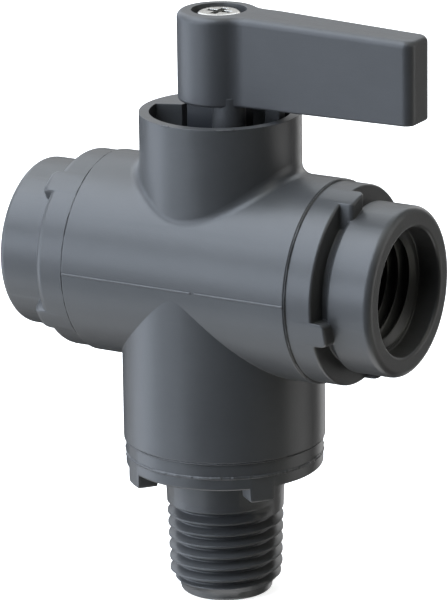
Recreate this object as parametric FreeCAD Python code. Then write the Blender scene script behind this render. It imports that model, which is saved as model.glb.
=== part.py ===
"""Three way diverting ball valve: two threaded sockets in line, one threaded spigot below.

Units are millimetres. The origin is on the spigot's axis at the lower end of its
thread. +Z runs up the stem and +X points out of the right-hand socket. Each end
connector is drawn along +Z from the valve centre, where the port axes meet, and is
then turned to face its port, so its heights are distances from the valve centre.
The handle is drawn over the right-hand socket, where the ball joins that socket to
the spigot. It turns clockwise, seen from above, through half a turn.
"""

import FreeCAD, Part
import math
import os

V = FreeCAD.Vector
UP = V(0, 0, 1)
CENTRE = V(0, 0, 0)

# Body: a run barrel along X, a branch barrel down, a stem collar up
PORT_AXIS_HEIGHT = 37.0
RUN_RADIUS = 11.85
RUN_HALF_LENGTH = 14.64
BRANCH_RADIUS = 11.78
BRANCH_LENGTH = 20.4
BARREL_END_ROUND = 0.18
BODY_BORE_RADIUS = 8.6
COLLAR_RADIUS = 9.37
COLLAR_TOP = 18.44
COLLAR_FILLET = 1.4
POCKET_RADIUS = 8.2
POCKET_FLOOR = 14.4
STOP_BLOCK_INNER_RADIUS = 5.3
STOP_BLOCK_FROM = 30.0
STOP_BLOCK_TO = 200.0
STOP_FACE_CORNER = (-5.0, 0.45)
STOP_FACE_SLANT = 20.0
ROOF_HEIGHT = 9.6
ROOF_RECESS_RADIUS = 5.7

# Ball, seats and their elastic rings
BALL_RADIUS = 7.5
PORT_RADIUS = 3.2
SEAT_GAP = 0.05
SEAT_RADIUS = 5.2
SEAT_BORE_RADIUS = 3.3
SEAT_BACK = 10.2
SEAT_RING_SECTION = 0.68
SEAT_RING_RADIUS = 4.48

# Stem
STEM_RADIUS = 4.0
RUNNING_CLEARANCE = 0.05
FLANGE_RADIUS = 5.2
FLANGE_BOTTOM = 8.1
FLANGE_TOP = 9.0
TANG_THICKNESS = 2.4
TANG_WIDTH = 8.0
TANG_BOTTOM = 5.4
TANG_CLEARANCE = 0.05
SLOT_BOTTOM = 5.2
STEM_SEAL_HEIGHTS = {"stem_seal_lower": 10.9, "stem_seal_upper": 13.1}
STEM_SEAL_SECTION = 0.7
STEM_SEAL_RADIUS = 3.31
STEM_GROOVE_WIDTH = 1.6
STEM_GROOVE_RADIUS = 2.58
SQUARE_BOTTOM = 14.2
SQUARE_SIZE = 5.6
SQUARE_CORNER_RADIUS = 3.9
STEM_TOP = 26.0

# End connectors: spigot in the body, ring with drive dogs, neck and thread
NOSE = 6.6
NOSE_RADIUS = 6.3
SPIGOT_RADIUS = 8.55
SPIGOT_SHOULDER = 8.9
SEAT_POCKET_RADIUS = 5.25
SEAT_POCKET_BACK = 11.6
FLOW_RADIUS = 3.6
SEAL_GROOVE_FROM = 11.7
SEAL_GROOVE_TO = 13.5
SEAL_GROOVE_RADIUS = 7.12
BODY_SEAL_SECTION = 0.7
BODY_SEAL_RADIUS = 7.87
GAP_LINE_WIDTH = 0.14
GAP_LINE_DEPTH = 0.35
DOG_WIDTH = 3.0
DOG_COUNT = 4
DOG_ROOT = 0.6

# Side ports
SIDE_RING_RADIUS = 11.6
SIDE_NECK_END = 18.95
SIDE_COLLAR_RADIUS = 9.87
SIDE_FACE = 24.5
SIDE_FACE_ROUND = 0.9
MOUTH_RADIUS = 7.45
MOUTH_ROUND = 0.4
MOUTH_DEPTH = 2.8
SOCKET_THREAD_RADIUS = 5.85
SOCKET_THREAD_FROM = 13.3
RIGHT_RING_END = 18.0
RIGHT_NECK_RADIUS = 9.0
SIDE_DOG_ROUND = 0.6
RIGHT_DOG_LENGTH = 1.6
RIGHT_DOG_ANGLE = 15.0
RIGHT_DOG_LEAN = -20.0
LEFT_RING_END = 18.5
LEFT_NECK_RADIUS = SIDE_COLLAR_RADIUS
LEFT_DOG_LENGTH = 1.2
LEFT_DOG_ANGLE = 55.0
LEFT_DOG_LEAN = 0.0

# Spigot port below
BOTTOM_RING_RADIUS = 11.54
BOTTOM_RING_END = 23.76
BOTTOM_NECK_RADIUS = 7.07
BOTTOM_NECK_END = 27.3
SPIGOT_THREAD_RADIUS = 6.858
SPIGOT_THREAD_END = 37.0
SPIGOT_NOSE_RADIUS = 5.65
SPIGOT_END = 39.4
SPIGOT_END_ROUND = 0.5
BOTTOM_DOG_LENGTH = 1.6
BOTTOM_DOG_ROUND = 0.4
BOTTOM_DOG_INNER_RADIUS = 9.2
BOTTOM_DOG_ANGLE = 38.0

# Handle
HUB_RADIUS = 4.85
HUB_BOTTOM = 19.9
HUB_TOP = 30.3
HUB_RECESS_RADIUS = 3.2
HUB_RECESS_FLOOR = 27.5
SOCKET_TOP = 26.1
SCREW_HOLE_RADIUS = 1.65
LEVER_REACH = 25.95
LEVER_ROOT_HALF = 3.25
LEVER_TIP_HALF = 2.45
LEVER_BLEND_RADIUS = 3.0
LEVER_TIP_ROUND = 1.2
LEVER_TIP_DROP = 0.7
LEVER_SLOPE_FROM = 6.5
TOP_ROUND = 0.8
BOTTOM_ROUND = 0.3
LUG_FROM = 5.0
LUG_TO = 29.0
LUG_INNER_RADIUS = 5.6
LUG_OUTER_RADIUS = 7.4
LUG_BOTTOM = 14.9
LOBE_CENTRE = (2.3, -2.0)
LOBE_RADIUS = 1.95

# Screw
SCREW_RADIUS = 1.45
SCREW_PILOT_RADIUS = 1.5
SCREW_LENGTH = 9.5
SCREW_PILOT_BOTTOM = 17.0
SCREW_HEAD_RADIUS = 2.6
SCREW_HEAD_HEIGHT = 2.6
SCREW_HEAD_ROUND = 0.6
CROSS_WIDTH = 0.85
CROSS_SPAN = 3.0
CROSS_DEPTH = 1.4

MATCH = 0.01


def cylinder(radius, bottom, top, axis=UP):
    """A cylinder about an axis through the valve centre, between two distances along it."""
    return Part.makeCylinder(radius, top - bottom, axis * bottom, axis)


def box(x, y, z):
    """A box from three (low, high) pairs."""
    return Part.makeBox(x[1] - x[0], y[1] - y[0], z[1] - z[0], V(x[0], y[0], z[0]))


def turned(points):
    """A solid of revolution about Z from a closed outline of (radius, height) points."""
    corners = [V(radius, 0, height) for radius, height in points]
    outline = Part.makePolygon(corners + corners[:1])
    return Part.Face(outline).revolve(CENTRE, UP, 360)


def sector(inner, outer, angle_from, angle_to, bottom, top):
    """A piece of a ring between two angles in degrees."""
    ring = Part.makeCylinder(outer, top - bottom, V(0, 0, bottom), UP, angle_to - angle_from)
    ring.rotate(CENTRE, UP, angle_from)
    return ring.cut(cylinder(inner, bottom - 1, top + 1))


def elastic_ring(section_radius, ring_radius, height):
    """An O-ring round Z."""
    return Part.makeTorus(ring_radius, section_radius, V(0, 0, height), UP)


def circle_edges(shape, radius, height):
    """The full circles round Z with this radius at this height."""
    found = []
    for edge in shape.Edges:
        if not isinstance(edge.Curve, Part.Circle):
            continue
        same_radius = abs(edge.Curve.Radius - radius) < MATCH
        same_height = abs(edge.Curve.Center.z - height) < MATCH
        if same_radius and same_height:
            found.append(edge)
    return found


def facing_right(shape):
    """Turn a piece drawn along +Z to face +X."""
    return shape.rotated(CENTRE, V(0, 1, 0), 90)


def facing_left(shape):
    """Turn a piece drawn along +Z to face -X."""
    return shape.rotated(CENTRE, V(0, 1, 0), -90)


def facing_down(shape):
    """Turn a piece drawn along +Z to face -Z."""
    return shape.rotated(CENTRE, V(1, 0, 0), 180)


PORTS = {"right": facing_right, "left": facing_left, "bottom": facing_down}


def stop_pocket():
    """The open space in the stem collar, beside the block that stops the handle's lug."""
    top = COLLAR_TOP + 1
    block = sector(
        STOP_BLOCK_INNER_RADIUS, POCKET_RADIUS + 1, STOP_BLOCK_FROM, STOP_BLOCK_TO, POCKET_FLOOR - 1, top
    )
    corner_x, corner_y = STOP_FACE_CORNER
    beyond_face = box(
        (corner_x - 2 * POCKET_RADIUS, corner_x), (corner_y - POCKET_RADIUS, corner_y), (POCKET_FLOOR - 1, top)
    )
    beyond_face.rotate(V(corner_x, corner_y, 0), UP, STOP_FACE_SLANT)
    return cylinder(POCKET_RADIUS, POCKET_FLOOR, top).cut(block.cut(beyond_face))


def valve_body():
    """The moulded T that holds the ball, with the stem collar on top."""
    run = cylinder(RUN_RADIUS, -RUN_HALF_LENGTH, RUN_HALF_LENGTH, V(1, 0, 0))
    branch = cylinder(BRANCH_RADIUS, -BRANCH_LENGTH, 0)
    collar = cylinder(COLLAR_RADIUS, 0, COLLAR_TOP)
    body = run.fuse(collar)
    join = [edge for edge in body.Edges if is_collar_join(edge)]
    body = body.makeFillet(COLLAR_FILLET, join)
    body = body.fuse(branch)
    body = body.makeFillet(BARREL_END_ROUND, [edge for edge in body.Edges if is_barrel_end(edge)])
    bores = [
        cylinder(BODY_BORE_RADIUS, -RUN_HALF_LENGTH - 1, RUN_HALF_LENGTH + 1, V(1, 0, 0)),
        cylinder(BODY_BORE_RADIUS, -BRANCH_LENGTH - 1, 0),
        cylinder(ROOF_RECESS_RADIUS, 0, ROOF_HEIGHT),
        cylinder(STEM_RADIUS + RUNNING_CLEARANCE, 0, COLLAR_TOP),
        stop_pocket(),
    ]
    return body.cut(bores)


def is_collar_join(edge):
    """Is this the curved edge where the stem collar meets the run barrel?"""
    box_of_edge = edge.BoundBox
    below_rim = box_of_edge.ZMax < COLLAR_TOP - 1
    above_axis = box_of_edge.ZMin > 1
    round_collar = max(abs(box_of_edge.XMin), abs(box_of_edge.XMax)) < RUN_HALF_LENGTH - 1
    return below_rim and above_axis and round_collar


def is_barrel_end(edge):
    """Is this the outer circle at the open end of a barrel?"""
    if not isinstance(edge.Curve, Part.Circle):
        return False
    centre = edge.Curve.Center
    on_run_end = abs(abs(centre.x) - RUN_HALF_LENGTH) < MATCH
    on_branch_end = abs(centre.z + BRANCH_LENGTH) < MATCH
    return on_run_end or on_branch_end


def connector_inside(flow_end):
    """Outline points inside the body, from the flow bore round to the ring's near face."""
    return [
        (FLOW_RADIUS, flow_end),
        (FLOW_RADIUS, SEAT_POCKET_BACK),
        (SEAT_POCKET_RADIUS, SEAT_POCKET_BACK),
        (SEAT_POCKET_RADIUS, NOSE),
        (NOSE_RADIUS, NOSE),
        (SPIGOT_RADIUS, SPIGOT_SHOULDER),
        (SPIGOT_RADIUS, SEAL_GROOVE_FROM),
        (SEAL_GROOVE_RADIUS, SEAL_GROOVE_FROM),
        (SEAL_GROOVE_RADIUS, SEAL_GROOVE_TO),
        (SPIGOT_RADIUS, SEAL_GROOVE_TO),
    ]


def dogs(ring_radius, ring_end, inner_radius, first_angle, length, corner_radius, lean=0.0):
    """Four drive dogs that stand out of the ring's end face, each turned about its outer end."""
    block = box(
        (inner_radius, ring_radius + 1),
        (-DOG_WIDTH / 2, DOG_WIDTH / 2),
        (ring_end - DOG_ROOT, ring_end + length),
    )
    corners = [
        edge for edge in block.Edges
        if abs(edge.BoundBox.ZMin - ring_end - length) < MATCH
        and edge.BoundBox.XLength > DOG_WIDTH / 4
    ]
    block = block.makeFillet(corner_radius, corners)
    block.rotate(V(ring_radius, 0, 0), UP, lean)
    block = block.common(cylinder(ring_radius, 0, ring_end + length))
    shapes = []
    for step in range(DOG_COUNT):
        shapes.append(block.rotated(CENTRE, UP, first_angle + step * 360 / DOG_COUNT))
    return shapes


def side_connector(ring_end, neck_radius, first_angle, dog_length, dog_lean):
    """A side port: ring with dogs, neck, collar and the socket for a pipe's taper thread."""
    groove_end = RUN_HALF_LENGTH + GAP_LINE_WIDTH
    gap_radius = SIDE_RING_RADIUS - GAP_LINE_DEPTH
    outline = connector_inside(SOCKET_THREAD_FROM) + [
        (SPIGOT_RADIUS, RUN_HALF_LENGTH),
        (gap_radius, RUN_HALF_LENGTH),
        (gap_radius, groove_end),
        (SIDE_RING_RADIUS, groove_end),
        (SIDE_RING_RADIUS, ring_end),
        (neck_radius, ring_end),
        (neck_radius, SIDE_NECK_END),
        (SIDE_COLLAR_RADIUS, SIDE_NECK_END),
        (SIDE_COLLAR_RADIUS, SIDE_FACE),
        (MOUTH_RADIUS, SIDE_FACE),
        (MOUTH_RADIUS, SIDE_FACE - MOUTH_DEPTH),
        (SOCKET_THREAD_RADIUS, SIDE_FACE - MOUTH_DEPTH),
        (SOCKET_THREAD_RADIUS, SOCKET_THREAD_FROM),
    ]
    if neck_radius == SIDE_COLLAR_RADIUS:
        outline.remove((neck_radius, SIDE_NECK_END))
        outline.remove((SIDE_COLLAR_RADIUS, SIDE_NECK_END))
    shape = turned(outline)
    shape = shape.makeFillet(SIDE_FACE_ROUND, circle_edges(shape, SIDE_COLLAR_RADIUS, SIDE_FACE))
    shape = shape.makeFillet(MOUTH_ROUND, circle_edges(shape, MOUTH_RADIUS, SIDE_FACE))
    dog_root = neck_radius - DOG_ROOT
    return shape.fuse(
        dogs(SIDE_RING_RADIUS, ring_end, dog_root, first_angle, dog_length, SIDE_DOG_ROUND, dog_lean)
    )


def right_connector():
    """The right port has a groove between its ring and its collar."""
    return side_connector(
        RIGHT_RING_END, RIGHT_NECK_RADIUS, RIGHT_DOG_ANGLE, RIGHT_DOG_LENGTH, RIGHT_DOG_LEAN
    )


def left_connector():
    """The left port's ring meets its collar directly, with no groove between."""
    return side_connector(
        LEFT_RING_END, LEFT_NECK_RADIUS, LEFT_DOG_ANGLE, LEFT_DOG_LENGTH, LEFT_DOG_LEAN
    )


def bottom_connector():
    """The branch port: ring with dogs and a spigot for a socket's taper thread."""
    groove_end = BRANCH_LENGTH + GAP_LINE_WIDTH
    gap_radius = BOTTOM_RING_RADIUS - GAP_LINE_DEPTH
    outline = connector_inside(SPIGOT_END) + [
        (SPIGOT_RADIUS, BRANCH_LENGTH),
        (gap_radius, BRANCH_LENGTH),
        (gap_radius, groove_end),
        (BOTTOM_RING_RADIUS, groove_end),
        (BOTTOM_RING_RADIUS, BOTTOM_RING_END),
        (BOTTOM_NECK_RADIUS, BOTTOM_RING_END),
        (BOTTOM_NECK_RADIUS, BOTTOM_NECK_END),
        (SPIGOT_THREAD_RADIUS, BOTTOM_NECK_END),
        (SPIGOT_THREAD_RADIUS, SPIGOT_THREAD_END),
        (SPIGOT_NOSE_RADIUS, SPIGOT_THREAD_END + SPIGOT_THREAD_RADIUS - SPIGOT_NOSE_RADIUS),
        (SPIGOT_NOSE_RADIUS, SPIGOT_END),
    ]
    shape = turned(outline)
    end_circle = circle_edges(shape, SPIGOT_NOSE_RADIUS, SPIGOT_END)
    shape = shape.makeFillet(SPIGOT_END_ROUND, end_circle)
    return shape.fuse(dogs(
        BOTTOM_RING_RADIUS,
        BOTTOM_RING_END,
        BOTTOM_DOG_INNER_RADIUS,
        BOTTOM_DOG_ANGLE,
        BOTTOM_DOG_LENGTH,
        BOTTOM_DOG_ROUND,
    ))


def seat():
    """A PTFE ring whose front is hollowed to the ball."""
    blank = cylinder(SEAT_RADIUS, BALL_RADIUS / 2, SEAT_BACK)
    blank = blank.cut(cylinder(SEAT_BORE_RADIUS, 0, SEAT_BACK + 1))
    return blank.cut(Part.makeSphere(BALL_RADIUS + SEAT_GAP))


def ball():
    """A ball with an L-shaped way through and a slot for the stem's tang."""
    way = [
        cylinder(PORT_RADIUS, 0, BALL_RADIUS + 1, V(1, 0, 0)),
        cylinder(PORT_RADIUS, 0, BALL_RADIUS + 1, V(0, 0, -1)),
        Part.makeSphere(PORT_RADIUS),
    ]
    half_slot = TANG_THICKNESS / 2 + TANG_CLEARANCE
    slot = box((-half_slot, half_slot), (-BALL_RADIUS, BALL_RADIUS), (SLOT_BOTTOM, BALL_RADIUS))
    return Part.makeSphere(BALL_RADIUS).cut(way + [slot])


def stem():
    """Tang, flange, sealed shaft with two grooves, and a square drive for the handle."""
    half = SQUARE_SIZE / 2
    tang = box(
        (-TANG_THICKNESS / 2, TANG_THICKNESS / 2),
        (-TANG_WIDTH / 2, TANG_WIDTH / 2),
        (TANG_BOTTOM, FLANGE_TOP),
    )
    shaft = cylinder(STEM_RADIUS, FLANGE_BOTTOM, SQUARE_BOTTOM)
    flange = cylinder(FLANGE_RADIUS, FLANGE_BOTTOM, FLANGE_TOP)
    square = box((-half, half), (-half, half), (SQUARE_BOTTOM, STEM_TOP))
    square = square.common(cylinder(SQUARE_CORNER_RADIUS, SQUARE_BOTTOM, STEM_TOP))
    tang = tang.common(cylinder(FLANGE_RADIUS, TANG_BOTTOM, FLANGE_TOP))
    whole = shaft.fuse([flange, tang, square])
    grooves = []
    for height in STEM_SEAL_HEIGHTS.values():
        low = height - STEM_GROOVE_WIDTH / 2
        high = height + STEM_GROOVE_WIDTH / 2
        grooves.append(cylinder(STEM_RADIUS + 1, low, high).cut(cylinder(STEM_GROOVE_RADIUS, low, high)))
    pilot = cylinder(SCREW_PILOT_RADIUS, SCREW_PILOT_BOTTOM, STEM_TOP + 1)
    return whole.cut(grooves + [pilot]).removeSplitter()


def stem_thrust_washer():
    """A PTFE washer that keeps the flange off the body's roof."""
    outer = cylinder(FLANGE_RADIUS, FLANGE_TOP + RUNNING_CLEARANCE, ROOF_HEIGHT)
    return outer.cut(cylinder(STEM_RADIUS + RUNNING_CLEARANCE * 2, FLANGE_TOP, ROOF_HEIGHT + 1))


def lever_side():
    """One side of the lever in plan, from the hub to the tip: blend arc ends and tip corner."""
    slope = math.atan2(LEVER_ROOT_HALF - LEVER_TIP_HALF, LEVER_REACH)
    offset = LEVER_ROOT_HALF * math.cos(slope)
    reach = HUB_RADIUS + LEVER_BLEND_RADIUS
    blend_y = offset + LEVER_BLEND_RADIUS
    blend_x = math.sqrt(reach ** 2 - blend_y ** 2)
    centre = V(blend_x, blend_y, 0)
    on_hub = centre * (HUB_RADIUS / reach)
    on_side = V(blend_x, offset, 0)
    middle_angle = (math.atan2(-blend_y, -blend_x) - math.pi / 2) / 2
    middle = centre + V(math.cos(middle_angle), math.sin(middle_angle), 0) * LEVER_BLEND_RADIUS
    turn = FreeCAD.Rotation(UP, -math.degrees(slope))
    return [turn.multVec(point) for point in (on_hub, middle, on_side)]


def lever_outline():
    """The handle's outline in plan: hub circle, blends, tapering sides and square tip."""
    on_hub, middle, on_side = lever_side()
    tip = V(LEVER_REACH, LEVER_TIP_HALF, 0)

    def mirrored(point):
        return V(point.x, -point.y, 0)

    edges = [
        Part.Arc(mirrored(on_hub), V(-HUB_RADIUS, 0, 0), on_hub).toShape(),
        Part.Arc(on_hub, middle, on_side).toShape(),
        Part.LineSegment(on_side, tip).toShape(),
        Part.LineSegment(tip, mirrored(tip)).toShape(),
        Part.LineSegment(mirrored(tip), mirrored(on_side)).toShape(),
        Part.Arc(mirrored(on_side), mirrored(middle), mirrored(on_hub)).toShape(),
    ]
    return Part.Face(Part.Wire(edges))


def rounded_lever():
    """The solid lever and hub with rounded tip corners and a rounded top."""
    shape = lever_outline().extrude(V(0, 0, HUB_TOP - HUB_BOTTOM))
    shape.translate(V(0, 0, HUB_BOTTOM))
    wedge = Part.Face(Part.makePolygon([
        V(LEVER_SLOPE_FROM, -HUB_TOP, HUB_TOP),
        V(LEVER_REACH + 1, -HUB_TOP, HUB_TOP - LEVER_TIP_DROP),
        V(LEVER_REACH + 1, -HUB_TOP, HUB_TOP + 1),
        V(LEVER_SLOPE_FROM, -HUB_TOP, HUB_TOP + 1),
        V(LEVER_SLOPE_FROM, -HUB_TOP, HUB_TOP),
    ])).extrude(V(0, 2 * HUB_TOP, 0))
    shape = shape.cut(wedge)
    tip_edges = [
        edge for edge in shape.Edges
        if edge.BoundBox.XMin > LEVER_REACH - MATCH and edge.BoundBox.ZLength > 1
    ]
    shape = shape.makeFillet(LEVER_TIP_ROUND, tip_edges)
    bottom_edges = [edge for edge in shape.Edges if edge.BoundBox.ZMax < HUB_BOTTOM + MATCH]
    shape = shape.makeFillet(BOTTOM_ROUND, bottom_edges)
    lowest_top = HUB_TOP - LEVER_TIP_DROP - 2 * MATCH
    top_edges = [
        edge for edge in shape.Edges
        if edge.BoundBox.ZMin > lowest_top and not is_top_crease(edge)
    ]
    return shape.makeFillet(TOP_ROUND, top_edges)


def is_top_crease(edge):
    """Is this the straight crease across the top where the lever starts to slope?"""
    limits = edge.BoundBox
    return limits.XLength < MATCH and abs(limits.XMin - LEVER_SLOPE_FROM) < MATCH


def handle():
    """Lever handle with a hub, a square socket, a screw recess, a stop lug and a round lobe."""
    half = SQUARE_SIZE / 2 + RUNNING_CLEARANCE
    socket = box((-half, half), (-half, half), (LUG_BOTTOM - 1, SOCKET_TOP))
    corner = SQUARE_CORNER_RADIUS + RUNNING_CLEARANCE
    socket = socket.common(cylinder(corner, LUG_BOTTOM - 1, SOCKET_TOP))
    recess = cylinder(HUB_RECESS_RADIUS, HUB_RECESS_FLOOR, HUB_TOP + 1)
    hole = cylinder(SCREW_HOLE_RADIUS, HUB_BOTTOM, HUB_TOP)
    lug = sector(LUG_INNER_RADIUS, LUG_OUTER_RADIUS, LUG_FROM, LUG_TO, LUG_BOTTOM, HUB_BOTTOM + 1)
    lug = lug.common(box((0, LEVER_REACH), (0, LEVER_ROOT_HALF), (0, HUB_TOP)))
    lobe = Part.makeCylinder(LOBE_RADIUS, HUB_BOTTOM + 1 - LUG_BOTTOM, V(*LOBE_CENTRE, LUG_BOTTOM), UP)
    return rounded_lever().fuse([lug, lobe]).cut([socket, recess, hole]).removeSplitter()


def handle_screw():
    """A pan head screw with a cross recess, its thread left plain."""
    head_top = HUB_RECESS_FLOOR + SCREW_HEAD_HEIGHT
    head = cylinder(SCREW_HEAD_RADIUS, HUB_RECESS_FLOOR, head_top)
    head = head.makeFillet(SCREW_HEAD_ROUND, circle_edges(head, SCREW_HEAD_RADIUS, head_top))
    shank = cylinder(SCREW_RADIUS, HUB_RECESS_FLOOR - SCREW_LENGTH, HUB_RECESS_FLOOR)
    depth = (head_top - CROSS_DEPTH, head_top + 1)
    half_width = CROSS_WIDTH / 2
    half_span = CROSS_SPAN / 2
    cross = box((-half_span, half_span), (-half_width, half_width), depth)
    cross = cross.fuse(box((-half_width, half_width), (-half_span, half_span), depth))
    return head.fuse(shank).cut(cross)


def all_parts():
    """Every piece by node name, drawn about the valve centre."""
    parts = {
        "valve_body": valve_body(),
        "right_end_connector": facing_right(right_connector()),
        "left_end_connector": facing_left(left_connector()),
        "bottom_end_connector": facing_down(bottom_connector()),
        "ball": ball(),
        "stem": stem(),
        "stem_thrust_washer": stem_thrust_washer(),
        "handle": handle(),
        "handle_screw": handle_screw(),
    }
    seat_ring_height = SEAT_BACK + SEAT_RING_SECTION + MATCH
    body_seal_height = (SEAL_GROOVE_FROM + SEAL_GROOVE_TO) / 2
    for port, facing in PORTS.items():
        seat_ring = elastic_ring(SEAT_RING_SECTION, SEAT_RING_RADIUS, seat_ring_height)
        body_seal = elastic_ring(BODY_SEAL_SECTION, BODY_SEAL_RADIUS, body_seal_height)
        parts[port + "_seat"] = facing(seat())
        parts[port + "_seat_ring"] = facing(seat_ring)
        parts[port + "_body_seal"] = facing(body_seal)
    for name, height in STEM_SEAL_HEIGHTS.items():
        parts[name] = elastic_ring(STEM_SEAL_SECTION, STEM_SEAL_RADIUS, height)
    return parts


def main():
    """Lift every piece to the part's own frame and write one STEP file for each."""
    os.makedirs("parts", exist_ok=True)
    for name, shape in all_parts().items():
        shape.translate(V(0, 0, PORT_AXIS_HEIGHT))
        solid = shape.Solids[0] if len(shape.Solids) == 1 else shape
        solid.exportStep("parts/" + name + ".step")
        size = solid.BoundBox
        print(name, len(shape.Solids), "solid", round(solid.Volume, 1), "mm3", solid.isValid(),
              [round(value, 2) for value in (size.XMin, size.XMax, size.YMin, size.YMax, size.ZMin, size.ZMax)])


main()
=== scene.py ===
# %% [markdown]
# # A three way valve, dressed for its portrait
#
# The part is a small moulded plastic ball valve: two threaded sockets in line, a threaded
# spigot below, and a lever on top held by one stainless screw. Its sizes come from a packed
# CAD model, which arrives here as a fixed frame. This lesson adds what a CAD model leaves out:
# real screw threads, soft moulded edges, seam lines, and finishes that catch the light.

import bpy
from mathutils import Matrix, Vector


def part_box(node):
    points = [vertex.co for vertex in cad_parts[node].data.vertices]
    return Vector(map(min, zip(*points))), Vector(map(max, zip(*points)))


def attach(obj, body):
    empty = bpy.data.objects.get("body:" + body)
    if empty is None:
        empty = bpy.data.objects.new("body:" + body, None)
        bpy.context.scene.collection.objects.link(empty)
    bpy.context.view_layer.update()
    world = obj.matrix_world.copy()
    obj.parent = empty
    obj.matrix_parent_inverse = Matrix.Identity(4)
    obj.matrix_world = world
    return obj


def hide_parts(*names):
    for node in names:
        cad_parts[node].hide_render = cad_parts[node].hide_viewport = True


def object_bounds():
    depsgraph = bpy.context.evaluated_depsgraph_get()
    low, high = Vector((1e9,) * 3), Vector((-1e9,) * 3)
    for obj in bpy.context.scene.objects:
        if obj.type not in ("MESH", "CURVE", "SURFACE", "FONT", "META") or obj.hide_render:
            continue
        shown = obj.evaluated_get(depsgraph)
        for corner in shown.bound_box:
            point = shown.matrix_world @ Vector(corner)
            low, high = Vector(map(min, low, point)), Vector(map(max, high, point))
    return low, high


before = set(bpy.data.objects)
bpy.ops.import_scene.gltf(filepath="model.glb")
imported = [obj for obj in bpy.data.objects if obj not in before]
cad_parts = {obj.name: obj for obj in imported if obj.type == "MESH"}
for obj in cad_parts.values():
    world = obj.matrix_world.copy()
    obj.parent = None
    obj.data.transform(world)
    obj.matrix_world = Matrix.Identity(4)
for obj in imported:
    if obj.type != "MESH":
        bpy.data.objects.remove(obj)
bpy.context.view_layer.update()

# %% [markdown]
# ## Measures
#
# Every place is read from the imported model, so a piece fits without being pushed about. The
# two sockets share one axis, and the stem stands over the point where the axes meet. Small
# things such as lengths and roundings are written in millimetres and turned into metres once.

# %% Read the measures of the model
import math

import bmesh
import bpy
import numpy as np
from mathutils import Matrix, Vector

MM = 0.001
socket_low, socket_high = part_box("right_end_connector")
spigot_low, spigot_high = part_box("bottom_end_connector")
body_low, body_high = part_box("valve_body")
axis_height = (socket_low.z + socket_high.z) / 2 / MM
side_ring = (socket_high.z - socket_low.z) / 2 / MM
side_face = socket_high.x / MM
body_half = body_high.x / MM
run_radius = -body_low.y / MM
branch_length = axis_height - body_low.z / MM
bottom_ring = spigot_high.y / MM
spigot_end = axis_height - spigot_low.z / MM
print("port axes at", round(axis_height, 2), "mm; side face at", round(side_face, 2), "mm")

# %% [markdown]
# ## Outlines with rounded corners
#
# A moulding has no sharp corner: the steel of the mould leaves a small radius on each one. An
# outline here is a list of corners, and each corner says how round it is. A corner is
# (radius from the axis, distance along the axis, rounding, rises with the lugs or not).

# %% Round the corners of an outline
def rounded_outline(corners, steps=6):
    points = []
    for index, (radius, along, rounding, rises) in enumerate(corners):
        here = Vector((radius, along))
        if rounding == 0:
            points.append((radius, along, rises))
            continue
        back = (Vector(corners[index - 1][:2]) - here).normalized()
        ahead = (Vector(corners[(index + 1) % len(corners)][:2]) - here).normalized()
        half = back.angle(ahead) / 2
        centre = here + (back + ahead).normalized() * rounding / math.sin(half)
        first = here + back * rounding / math.tan(half) - centre
        last = here + ahead * rounding / math.tan(half) - centre
        for step in range(steps + 1):
            share = step / steps
            spoke = rounding * first.normalized().slerp(last.normalized(), share)
            points.append((*(centre + spoke), rises))
    return points


# %% [markdown]
# ## Columns round the axis
#
# Each connector could be a plain turned shape, but its ring carries four drive lugs. So the
# shape is a grid: outline points one way, columns round the axis the other way. The columns
# crowd together where a lug's side stands up, and the outline points that belong to the
# ring's end face rise there. That gives clean lugs without any cutting.

# %% Place the columns and shape the lugs
LUG_HALF_WIDTH = 1.5
LUG_FOOT = 1.62
INNERMOST = 8.0


def lug_section(lug_height, corner):
    across, height = [0.0], [lug_height]
    flat = LUG_HALF_WIDTH - corner
    for turn in range(0, 91, 15):
        across.append(flat + corner * math.sin(math.radians(turn)))
        height.append(lug_height - corner + corner * math.cos(math.radians(turn)))
    across += [LUG_HALF_WIDTH + 0.02, LUG_HALF_WIDTH + 0.05, LUG_FOOT]
    height += [0.12, 0.03, 0.0]
    return across, height


def columns(first_lug, lug_height, corner, between=24):
    across, height = lug_section(lug_height, corner)
    side = [-value for value in across[:0:-1]] + across
    lift = height[:0:-1] + height
    base, sideways, rise = [], [], []
    for lug in range(4):
        angle = math.radians(first_lug + 90 * lug)
        for value, up in zip(side, lift):
            base.append(angle)
            sideways.append(value)
            rise.append(up)
        for step in range(1, between):
            share = step / between
            base.append(angle + share * math.pi / 2)
            sideways.append((1 - 2 * share) * LUG_FOOT)
            rise.append(0.0)
    base.append(math.radians(first_lug + 360))
    sideways.append(side[0])
    rise.append(rise[0])
    return np.array(base), np.array(sideways), np.array(rise)


def column_angles(base, sideways, radius):
    reach = np.maximum(radius, INNERMOST)
    return base + np.arcsin(sideways / reach)


# %% [markdown]
# ## Threads
#
# A pipe thread is a V groove wound round a gentle cone. It could be faked with a bump map, but
# the light and the silhouette would give it away. Here the grid's rows follow the helix, so
# each crest and root is one unbroken line of edges. The groove fades in over part of a turn,
# as the mould's thread does.

# %% Wind a thread
PITCH = 1.411
CONE = 32
ROWS_PER_TURN = 16


def smooth_share(value):
    value = np.clip(value, 0, 1)
    return value * value * (3 - 2 * value)


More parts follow.
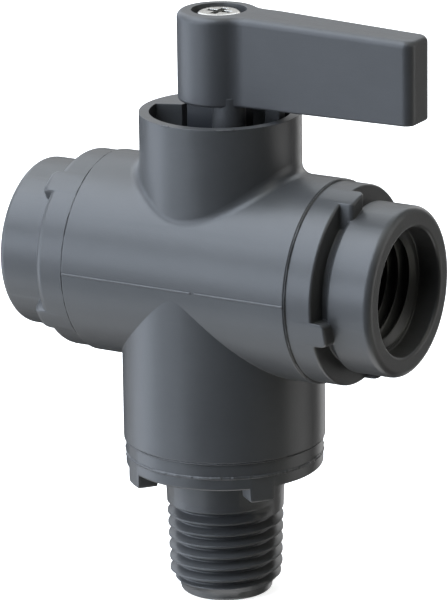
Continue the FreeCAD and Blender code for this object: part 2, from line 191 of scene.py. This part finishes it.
def thread_rows(angles, start, end, radius_at, depth, crest_flat, fade, offset, end_cap):
    turn = (angles - angles[0]) / (2 * math.pi)
    count = int((end - start) / PITCH + 2) * ROWS_PER_TURN
    rows = []
    for row in range(-ROWS_PER_TURN * 2, count):
        along = np.clip(start + (row / ROWS_PER_TURN + turn + offset) * PITCH, start, end)
        wound = (along - start) / PITCH - turn - offset
        groove = np.floor(wound + 1e-6)
        inside = wound - groove
        vee = np.clip((1 - np.abs(2 * inside - 1) - crest_flat) / (1 - 2 * crest_flat), 0, 1)
        share = smooth_share((groove + turn + offset - fade[0]) / fade[1])
        radius = radius_at(along) + depth * vee * share
        rows.append((end_cap(radius, along), along))
    return rows


# %% [markdown]
# ## From grid to mesh
#
# The outline is closed, so the last row joins the first one. Rows or columns that fall on the
# same place are welded. Then each edge sharper than forty degrees is marked, so that flat
# faces stay flat and round ones stay round.

# %% Build a mesh from a grid
TO_PORT = {
    "right": Matrix.Rotation(math.radians(90), 4, "Y"),
    "left": Matrix.Rotation(math.radians(-90), 4, "Y"),
    "bottom": Matrix.Rotation(math.radians(180), 4, "X"),
}


def keep_flats_flat(piece):
    shading = piece.modifiers.new("keep_flats_flat", "WEIGHTED_NORMAL")
    shading.mode, shading.keep_sharp, shading.weight = "FACE_AREA", True, 80


def new_piece(name, points, faces, sharp=40, weld=0.0004):
    mesh = bpy.data.meshes.new(name)
    mesh.from_pydata([tuple(point) for point in points], [], faces)
    work = bmesh.new()
    work.from_mesh(mesh)
    bmesh.ops.remove_doubles(work, verts=work.verts, dist=weld * MM)
    bmesh.ops.dissolve_degenerate(work, edges=work.edges, dist=weld * MM)
    bmesh.ops.recalc_face_normals(work, faces=work.faces)
    work.to_mesh(mesh)
    work.free()
    mesh.shade_smooth()
    mesh.set_sharp_from_angle(angle=math.radians(sharp))
    piece = bpy.data.objects.new(name, mesh)
    bpy.context.scene.collection.objects.link(piece)
    keep_flats_flat(piece)
    print(name, len(mesh.vertices), "points")
    return piece


def turned_piece(name, port, outline, base, sideways, rise, threads=(), lean=0.0):
    rows = []
    ring = max(point[0] for point in outline)
    shift = 0.0
    for index, (radius, along, rises) in enumerate(outline):
        if rises:
            shift = lean * (ring - radius)
        angle = column_angles(base, sideways + shift, radius)
        ones = np.ones(len(base))
        rows.append((radius * ones, along + rise * rises, angle))
        if index in threads:
            angle = column_angles(base, sideways + shift, INNERMOST)
            for thread_radius, thread_along in threads[index](angle):
                rows.append((thread_radius, thread_along, angle))
    grid = [
        np.stack([radius * np.cos(angle), radius * np.sin(angle), along], axis=1)
        for radius, along, angle in rows
    ]
    turn = np.array(TO_PORT[port].to_3x3())
    points = np.concatenate(grid) @ turn.T + (0, 0, axis_height)
    wide, tall = len(base), len(grid)
    faces = []
    for row in range(tall):
        below = (row + 1) % tall
        for column in range(wide - 1):
            faces.append((row * wide + column, row * wide + column + 1,
                          below * wide + column + 1, below * wide + column))
    return new_piece(name, points * MM, faces)


# %% [markdown]
# ## The two side connectors
#
# Each one is a single moulding: a spigot hidden in the body, the lugged ring, then a collar
# with the female thread. Only the right one has a groove behind its collar.

# %% Outline the side connectors
FLOW_WAY = 3.6
SEAT_POCKET, POCKET_END = 5.25, 11.6
TIP_START, TIP_RADIUS, TIP_END = 6.6, 6.3, 8.9
TONGUE_RADIUS = 8.55
SEAL_FLOOR, SEAL_START, SEAL_END = 7.12, 11.7, 13.5
GAP_WIDTH, GAP_DEPTH = 0.07, 0.12
NECK_END, COLLAR_RADIUS = 18.95, 9.87
MOUTH_RADIUS, SHELF = 7.45, side_face - 2.8
THREAD_INNER, THREAD_ROOT, SHELF_RADIUS = 13.3, 5.8, 6.3


def hidden_outline(ring_start):
    return [
        (FLOW_WAY, POCKET_END, 0, 0), (SEAT_POCKET, POCKET_END, 0, 0),
        (SEAT_POCKET, TIP_START, 0, 0), (TIP_RADIUS, TIP_START, 0, 0),
        (TONGUE_RADIUS, TIP_END, 0, 0), (TONGUE_RADIUS, SEAL_START, 0, 0),
        (SEAL_FLOOR, SEAL_START, 0, 0), (SEAL_FLOOR, SEAL_END, 0, 0),
        (TONGUE_RADIUS, SEAL_END, 0, 0), (TONGUE_RADIUS, ring_start, 0, 0),
    ]


def side_outline(neck, ring_end, ring_round, collar_round):
    gap = side_ring - GAP_DEPTH
    corners = hidden_outline(body_half) + [
        (gap, body_half, 0, 0), (gap, body_half + GAP_WIDTH, 0, 0),
        (side_ring, body_half + GAP_WIDTH, 0.1, 0), (side_ring, ring_end, ring_round, 1),
    ]
    if collar_round:
        corners += [
            (neck, ring_end, 0.12, 1), (neck, NECK_END, 0.15, 0),
            (COLLAR_RADIUS, NECK_END, collar_round, 0),
        ]
    else:
        corners += [(neck, ring_end, 0.15, 1)]
    corners += [
        (COLLAR_RADIUS, side_face, 0.9, 0), (MOUTH_RADIUS, side_face, 0.4, 0),
        (MOUTH_RADIUS, SHELF, 0.15, 0), (SHELF_RADIUS, SHELF, 0, 0),
        (THREAD_ROOT, THREAD_INNER, 0, 0), (FLOW_WAY, THREAD_INNER, 0, 0),
    ]
    return corners


def socket_thread(angles):
    def radius_at(along):
        return THREAD_ROOT + (along - THREAD_INNER) / CONE

    def no_cap(radius, along):
        return radius

    rows = thread_rows(angles, THREAD_INNER, SHELF, radius_at, 1.0, 0.06, (0.3, 0.5), 0.35, no_cap)
    return rows[::-1]


# %% Build the side connectors
def side_connector(name, port, neck, ring_end, first_lug, lug_height, lean, ring_round, collar_round):
    outline = rounded_outline(side_outline(neck, ring_end, ring_round, collar_round))
    shelf_index = len(outline) - 3
    outline = outline[:shelf_index] + outline[shelf_index + 2:]
    base, sideways, rise = columns(first_lug, lug_height, 0.6)
    threads = {shelf_index - 1: socket_thread}
    slant = math.tan(math.radians(lean))
    piece = turned_piece(name, port, outline, base, sideways, rise, threads, slant)
    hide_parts(port + "_end_connector")
    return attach(piece, "root")


right_connector = side_connector(
    "right_socket_moulding", "right", 9.0, 18.0, 15.0, 1.6, 20.0, 0.3, 0.5
)
left_connector = side_connector(
    "left_socket_moulding", "left", COLLAR_RADIUS, 18.5, 55.0, 1.2, 0.0, 1.0, 0.0
)

# %% [markdown]
# ## The spigot connector
#
# The same ring and lugs, but the thread is on the outside and tapers towards a plain nose.

# %% Build the spigot connector
RING_END, SPIGOT_NECK = 23.76, 7.07
THREAD_START, THREAD_CREST = 27.3, 6.9
NOSE_RADIUS = 5.5
CHAMFER_END = 38.35


def spigot_outline():
    gap = bottom_ring - GAP_DEPTH
    return hidden_outline(branch_length) + [
        (gap, branch_length, 0, 0), (gap, branch_length + GAP_WIDTH, 0, 0),
        (bottom_ring, branch_length + GAP_WIDTH, 0.1, 0), (bottom_ring, RING_END, 0.3, 1),
        (9.2, RING_END, 0, 1), (9.19, RING_END, 0, 0), (SPIGOT_NECK, RING_END, 0.2, 0),
        (SPIGOT_NECK, THREAD_START - 2.0, 0.5, 0), (THREAD_CREST, THREAD_START, 0, 0),
        (NOSE_RADIUS, CHAMFER_END, 0, 0), (5.3, spigot_end, 0.5, 0),
        (FLOW_WAY, spigot_end, 0.3, 0),
    ]


def spigot_thread(angles):
    def radius_at(along):
        return THREAD_CREST - (along - THREAD_START) / CONE

    def chamfer(radius, along):
        return np.minimum(radius, NOSE_RADIUS + np.maximum(0, CHAMFER_END - along))

    return thread_rows(
        angles, THREAD_START, CHAMFER_END, radius_at, -0.95, 0.15, (0.33, 0.16), 0.394, chamfer
    )


outline = rounded_outline(spigot_outline())
after_neck = next(i for i, p in enumerate(outline) if abs(p[0] - THREAD_CREST) < 1e-6)
base, sideways, rise = columns(38.0, 1.6, 0.35)
threads = {after_neck: spigot_thread}
spigot = turned_piece("spigot_moulding", "bottom", outline, base, sideways, rise, threads)
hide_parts("bottom_end_connector")
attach(spigot, "root")

# %% [markdown]
# ## Seams and flash
#
# Where two halves of a mould meet, the plastic creeps into the gap and leaves a fine raised
# line. It's never even: it thins out, stops and starts again. Each line here is a low ridge
# along a path, and its height wanders by a few sine waves that never quite repeat.

# %% Raise a seam along a path
def wander(distance, seed):
    total = 0.0
    for k, wave in enumerate((1.0, 1.9, 3.7, 7.3, 12.9)):
        total += math.sin(wave * distance + seed * (k + 1.3)) / (1 + 0.6 * k)
    return 0.5 + 0.5 * math.tanh(1.3 * total)


def seam(name, path, width, height, seed, least=0.35):
    """A ridge along a path of (place, outward direction) pairs, in mm from the part's origin."""
    points, faces = [], []
    distance = 0.0
    for index, (place, outward) in enumerate(path):
        ahead = path[min(index + 1, len(path) - 1)][0] - path[max(index - 1, 0)][0]
        sideways = ahead.normalized().cross(outward)
        distance += ahead.length / 2
        lift = height * (least + (1 - least) * wander(distance, seed))
        for across, up in ((-0.5, -0.4), (-0.3, 0.6), (0.0, 1.0), (0.3, 0.6), (0.5, -0.4)):
            points.append((place + sideways * across * width + outward * up * lift) * MM)
    for step in range(len(path) - 1):
        for side in range(5):
            beside = (side + 1) % 5
            here, ahead = 5 * step, 5 * step + 5
            faces.append((here + side, here + beside, ahead + beside, ahead + side))
    faces += [tuple(range(5)), tuple(range(5 * len(path) - 5, 5 * len(path)))]
    piece = new_piece(name, points, faces, sharp=80)
    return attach(piece, "root")


def straight_path(start, end, outward, step=0.12):
    start, end, outward = Vector(start), Vector(end), Vector(outward)
    count = int((end - start).length / step)
    return [(start.lerp(end, k / count), outward) for k in range(count + 1)]


def round_path(turn, radius, along, first, last, lean=0.0):
    path = []
    count = int(abs(last - first) / 0.6)
    for k in range(count + 1):
        angle = math.radians(first + (last - first) * k / count)
        spoke = Vector((math.cos(angle), math.sin(angle), 0))
        outward = (spoke + lean * Vector((0, 0, 1))).normalized()
        path.append((turn @ (radius * spoke + Vector((0, 0, along))), turn.to_3x3() @ outward))
    return path


# %% Draw the seams of the body and the ring
upright = Matrix.Translation((0, 0, axis_height))
downward = upright @ TO_PORT["bottom"]
SEAM_END = 14.55
seams = []
for side, start, end in (
    ("front", -SEAM_END, 2.6), ("front_far", 3.1, SEAM_END), ("back", -SEAM_END, SEAM_END),
):
    facing = 1 if side == "back" else -1
    level = facing * run_radius
    path = straight_path((start, level, axis_height), (end, level, axis_height), (0, facing, 0))
    seams.append(seam(side + "_seam", path, 0.30, 0.13, 2.0 + len(seams), 0.6))
path = round_path(downward, bottom_ring, 22.2, 0, 359.8)
seams.append(seam("ring_flash", path, 0.46, 0.22, 5.0, 0.15))
JOINTS = (
    ("right", side_ring, body_half),
    ("left", side_ring, body_half),
    ("bottom", bottom_ring, branch_length),
)
for port, ring, joint in JOINTS:
    path = round_path(upright @ TO_PORT[port], ring, joint + 0.06, 0, 359.8)
    seams.append(seam(port + "_joint_flash", path, 0.30, 0.24, 3.0 + len(seams), 0.75))
for number, (first, last) in enumerate(((-106, -99), (-62, -50), (20, 31), (120, 140))):
    path = round_path(upright, 9.33, 18.42, first, last, lean=1.0)
    seams.append(seam("rim_flash_" + str(number), path, 0.26, 0.14, 7.0 + number))
print(len(seams), "seams and lines of flash")

# %% [markdown]
# ## Shader maths in plain Python
#
# A finish is a small program: noise here, a ramp there, added and multiplied. Wrapping each
# socket in a class lets Python's own operators add the Math nodes, so a formula reads like one.

# %% Wrap sockets so that operators add nodes
class Shade:
    def __init__(self, finish, socket):
        self.finish, self.socket = finish, socket

    def maths(self, operation, first, second):
        return self.finish.add("ShaderNodeMath", {"operation": operation}, {0: first, 1: second})

    def __add__(self, other):
        return self.maths("ADD", self, other)

    __radd__ = __add__

    def __sub__(self, other):
        return self.maths("SUBTRACT", self, other)

    def __mul__(self, other):
        return self.maths("MULTIPLY", self, other)

    __rmul__ = __mul__


class Finish:
    def __init__(self, name):
        self.material = bpy.data.materials.new(name)
        self.material.use_nodes = True
        self.nodes = self.material.node_tree.nodes
        self.links = self.material.node_tree.links
        self.shader = self.nodes["Principled BSDF"]

    def add(self, kind, settings, values, output=0):
        node = self.nodes.new(kind)
        for key, value in settings.items():
            if key == "stops":
                ramp = node.color_ramp.elements
                while len(ramp) < len(value):
                    ramp.new(0.5)
                for element, (position, colour) in zip(ramp, value):
                    element.position, element.color = position, colour
            else:
                setattr(node, key, value)
        for key, value in values.items():
            self.put(node.inputs[key], value)
        return Shade(self, node.outputs[output])

    def put(self, socket, value):
        if isinstance(value, Shade):
            self.links.new(value.socket, socket)
        else:
            socket.default_value = value

    def set(self, **values):
        for key, value in values.items():
            self.put(self.shader.inputs[key.replace("_", " ")], value)

    def place(self):
        return self.add("ShaderNodeTexCoord", {}, {}, "Object")

    def scaled(self, vector, scale):
        return self.add("ShaderNodeMapping", {}, {"Vector": vector, "Scale": scale})

    def noise(self, vector, per_mm, detail=3.0, rough=0.5):
        return self.add("ShaderNodeTexNoise", {}, {
            "Vector": vector, "Scale": per_mm / MM, "Detail": detail, "Roughness": rough,
        })

    def mix(self, share, first, second):
        return self.add("ShaderNodeMix", {"data_type": "RGBA"}, {0: share, 6: first, 7: second}, 2)

    def bump(self, height, distance, strength, normal=None):
        values = {"Height": height, "Distance": distance * MM, "Strength": strength}
        if normal is not None:
            values["Normal"] = normal
        return self.add("ShaderNodeBump", {}, values)


# %% [markdown]
# ## Moulded plastic
#
# The shell is glass-filled plastic in slate grey. Its skin copies the mould: a fine spark
# eroded grain, slow waves where thick walls shrank, and faint streaks along the flow. The
# edges look lighter because their small rounding catches the light; the Bevel node gives that
# rounding to the shader without more geometry. Rubbed patches, spread at random, are a little
# paler and rougher.

# %% Mix the moulded plastics
def moulded(name, colour, roughness, edge=0.12, grain=1.0, streaks=(0.5, 1.4, 1.4)):
    finish = Finish(name)
    place = finish.place()
    cloud = finish.noise(place, 0.22, 4.0)
    flow = finish.noise(finish.scaled(place, streaks), 0.9, 4.0, 0.6)
    fine = finish.noise(place, 5.5, 2.0, 0.65)
    speck = finish.noise(place, 2.2, 2.0)
    tone = 0.80 + 0.22 * cloud + 0.14 * flow + 0.06 * fine
    dark = tuple(0.62 * channel for channel in colour)
    pale = tuple(1.35 * channel for channel in colour)
    rubbed = finish.noise(place, 1.1, 5.0, 0.7)
    scuff = finish.add("ShaderNodeMapRange", {}, {"Value": rubbed, 1: 0.70, 2: 0.78})
    shade = finish.mix(tone - 0.5 + 0.25 * scuff, (*dark, 1), (*pale, 1))
    soft = finish.add("ShaderNodeBevel", {"samples": 6}, {"Radius": edge * MM})
    waves = finish.bump(cloud, 0.25, 0.12, soft)
    skin = finish.bump(fine + 0.6 * speck, 0.012 * grain, 0.8, waves)
    finish.set(Base_Color=shade, Roughness=roughness - 0.05 + 0.12 * flow + 0.1 * scuff, Normal=skin)
    finish.set(IOR=1.5)
    return finish.material


body_plastic = moulded("slate_moulded_plastic", (0.061, 0.062, 0.063), 0.34)
handle_plastic = moulded("handle_moulded_plastic", (0.053, 0.054, 0.056), 0.38, grain=1.2)
stem_plastic = moulded("stem_moulded_plastic", (0.030, 0.032, 0.036), 0.40)
ball_plastic = moulded("ball_polished_plastic", (0.22, 0.23, 0.24), 0.22, grain=0.3)
print("plastics:", [m.name for m in (body_plastic, handle_plastic, stem_plastic, ball_plastic)])

# %% [markdown]
# ## Small parts' finishes
#
# White PTFE is waxy, so its gloss is soft and low. The O-rings are matt black rubber. The
# screw is stainless: metal whose turning marks run in rings.

# %% Mix the seat, seal and steel finishes
def waxy_white():
    finish = Finish("white_ptfe")
    cloud = finish.noise(finish.place(), 0.8, 3.0)
    finish.set(Base_Color=finish.mix(cloud, (0.78, 0.78, 0.75, 1), (0.88, 0.88, 0.86, 1)))
    finish.set(Roughness=0.38 + 0.1 * cloud, IOR=1.38)
    return finish.material


def black_rubber():
    finish = Finish("black_rubber")
    cloud = finish.noise(finish.place(), 2.5, 3.0)
    finish.set(Base_Color=finish.mix(cloud, (0.012, 0.012, 0.013, 1), (0.024, 0.024, 0.025, 1)))
    finish.set(Roughness=0.55 + 0.15 * cloud, Normal=finish.bump(cloud, 0.02, 0.4))
    return finish.material


def stainless():
    finish = Finish("stainless_steel")
    place = finish.place()
    rings = finish.add(
        "ShaderNodeTexWave",
        {"wave_type": "RINGS", "rings_direction": "Z"},
        {"Vector": place, "Scale": 1.6 / MM, "Distortion": 1.5, "Detail": 3.0},
    )
    cloud = finish.noise(place, 1.5, 3.0)
    soft = finish.add("ShaderNodeBevel", {"samples": 6}, {"Radius": 0.08 * MM})
    finish.set(Base_Color=finish.mix(cloud, (0.56, 0.55, 0.52, 1), (0.68, 0.67, 0.64, 1)))
    finish.set(Metallic=1.0, Roughness=0.20 + 0.14 * cloud, Normal=finish.bump(rings, 0.01, 0.35, soft))
    return finish.material


ptfe, rubber, steel = waxy_white(), black_rubber(), stainless()

# %% Give each piece its finish
FINISHES = {
    "valve_body": body_plastic, "handle": handle_plastic, "stem": stem_plastic, "ball": ball_plastic,
    "handle_screw": steel, "stem_thrust_washer": ptfe,
}
for node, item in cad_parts.items():
    material = FINISHES.get(node)
    if node.endswith("_seat"):
        material = ptfe
    if node.endswith("_seal") or "seal_" in node or node.endswith("_seat_ring"):
        material = rubber
    item.data.materials.clear()
    item.data.materials.append(material or body_plastic)
    item.data.shade_smooth()
    item.data.set_sharp_from_angle(angle=math.radians(28))
    keep_flats_flat(item)
for piece in (right_connector, left_connector, spigot, *seams):
    piece.data.materials.clear()
    piece.data.materials.append(body_plastic)

# %% [markdown]
# ## The studio
#
# A pale sheet sweeps up behind the part. It's there for the eye only: it's hidden from the
# light that falls on the plastic, so the soft boxes alone shape the highlights.

# %% Lay the pale sweep
floor_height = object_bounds()[0].z
SWEEP_STEPS = 64


def sweep():
    corners = [(0.0, 0.0), (1.6, 0.0), (2.2, 0.12), (2.6, 0.5), (2.8, 1.2), (2.8, 2.6)]
    points, faces = [], []
    for radius, height in corners:
        for step in range(SWEEP_STEPS):
            angle = step * math.tau / SWEEP_STEPS
            points.append((radius * math.cos(angle), radius * math.sin(angle), floor_height + height))
    for row in range(len(corners) - 1):
        low, high = row * SWEEP_STEPS, (row + 1) * SWEEP_STEPS
        for step in range(SWEEP_STEPS):
            ahead = (step + 1) % SWEEP_STEPS
            faces.append((low + step, low + ahead, high + ahead, high + step))
    return new_piece("pale_sweep", points, faces)


floor = sweep()
paper = Finish("pale_paper")
paper_tone = paper.noise(paper.place(), 0.05, 3.0)
paper.set(Base_Color=paper.mix(paper_tone, (0.80, 0.80, 0.80, 1), (0.84, 0.84, 0.84, 1)), Roughness=0.9)
paper.set(Emission_Color=(1.0, 1.0, 1.0, 1), Emission_Strength=0.75)
floor.data.materials.append(paper.material)
floor.visible_diffuse = False
floor.visible_glossy = False
floor.visible_shadow = False

# %% [markdown]
# ## The camera
#
# A long lens well back keeps the barrels' sides parallel, as a catalogue picture does. The
# camera stands to the right and a little above, and its place is measured from the point
# where the axes meet. Its angles, distance and lens were found by fitting the outline.

# %% Stand the camera
VIEW_LEFT_TO_RIGHT = math.radians(30.16)
VIEW_UP = math.radians(16.55)
ROLL = math.radians(-0.78)
DISTANCE = 544.13
ASIDE, DOWN = 0.13, -4.24
turn_sin, turn_cos = math.sin(VIEW_LEFT_TO_RIGHT), math.cos(VIEW_LEFT_TO_RIGHT)
to_right = Vector((turn_cos, turn_sin, 0))
to_camera = Vector((turn_sin * math.cos(VIEW_UP), -turn_cos * math.cos(VIEW_UP), math.sin(VIEW_UP)))
to_top = to_camera.cross(to_right)
across = math.cos(ROLL) * to_right + math.sin(ROLL) * to_top
upward = -math.sin(ROLL) * to_right + math.cos(ROLL) * to_top
stand = ASIDE * to_right + Vector((0, 0, DOWN + axis_height)) + DISTANCE * to_camera
lens = bpy.data.cameras.new("catalogue_lens")
lens.sensor_width = 36.0
lens.lens = 281.8
lens.clip_start, lens.clip_end = 0.05, 20.0
camera = bpy.data.objects.new("camera", lens)
bpy.context.scene.collection.objects.link(camera)
facing = Matrix((across, upward, to_camera)).transposed().to_4x4()
camera.matrix_world = Matrix.Translation(stand * MM) @ facing
bpy.context.scene.camera = camera
print("camera at", [round(v, 4) for v in camera.location])

# %% [markdown]
# ## The lights
#
# Satin plastic shows what it mirrors, so each light is a panel placed where the plastic should
# reflect it. The bright, slightly blue ones stand at the left and behind. Dimmer cards below and
# at the right only keep the shadows open, and the side towards the camera stays dark, which
# gives each barrel its dark band. A thin strip behind draws a pale line down the dark side.
# The strengths were balanced from pictures of each light alone, rounded, then adjusted.

# %% Hang the soft boxes
flat_to_camera = Vector((turn_sin, -turn_cos, 0))
valve_middle = Vector((0, 0, axis_height * MM))
REACH = 1.2


def soft_box(name, left, up, wide, tall, strength, colour):
    lamp = bpy.data.lights.new(name, "AREA")
    lamp.shape = "RECTANGLE"
    lamp.size, lamp.size_y = wide, tall
    lamp.energy = strength * wide * tall
    lamp.color = colour
    item = bpy.data.objects.new(name, lamp)
    bpy.context.scene.collection.objects.link(item)
    left, up = math.radians(left), math.radians(up)
    level = math.cos(left) * flat_to_camera - math.sin(left) * to_right
    direction = math.cos(up) * level + math.sin(up) * Vector((0, 0, 1))
    item.location = valve_middle + REACH * direction
    item.rotation_mode = "QUATERNION"
    item.rotation_quaternion = direction.to_track_quat("Z", "Y")
    item.visible_camera = False


COOL = (0.88, 0.98, 1.13)
MILD = (0.94, 1.0, 1.05)
PLAIN = (1.0, 1.0, 1.0)
WARM = (1.03, 1.02, 0.90)
soft_box("upper_left_box", 70, 52, 1.5, 1.1, 13.0, COOL)
soft_box("left_middle_box", 60, 8, 1.2, 0.45, 12.0, COOL)
soft_box("left_far_box", 105, -5, 0.8, 0.9, 6.0, COOL)
soft_box("left_rear_box", 145, 15, 0.7, 0.9, 3.0, COOL)
soft_box("left_high_rear_box", 115, 45, 1.0, 1.0, 2.5, PLAIN)
soft_box("rear_high_box", 180, 50, 1.4, 0.8, 6.0, MILD)
soft_box("rear_card", 180, 18, 1.6, 0.6, 2.0, PLAIN)
soft_box("overhead_card", -10, 86, 1.0, 1.0, 3.5, WARM)
soft_box("low_left_card", 75, -20, 1.3, 1.0, 3.0, COOL)
soft_box("floor_left_card", 70, -50, 1.2, 0.8, 4.0, MILD)
soft_box("floor_rear_card", 125, -35, 1.0, 0.8, 2.0, PLAIN)
soft_box("floor_card", 0, -86, 1.0, 1.0, 6.0, PLAIN)
soft_box("right_side_card", -95, 0, 0.7, 1.2, 4.0, PLAIN)
soft_box("right_high_card", -70, 45, 1.0, 0.8, 2.5, WARM)
soft_box("right_low_card", -60, -40, 1.0, 0.8, 1.5, WARM)
soft_box("right_strip", -150, -5, 0.5, 1.4, 4.0, PLAIN)

world = bpy.data.worlds.new("studio_room")
world.use_nodes = True
world.node_tree.nodes["Background"].inputs["Color"].default_value = (1, 1, 1, 1)
world.node_tree.nodes["Background"].inputs["Strength"].default_value = 0.02
bpy.context.scene.world = world
bpy.context.scene.view_settings.view_transform = "Standard"
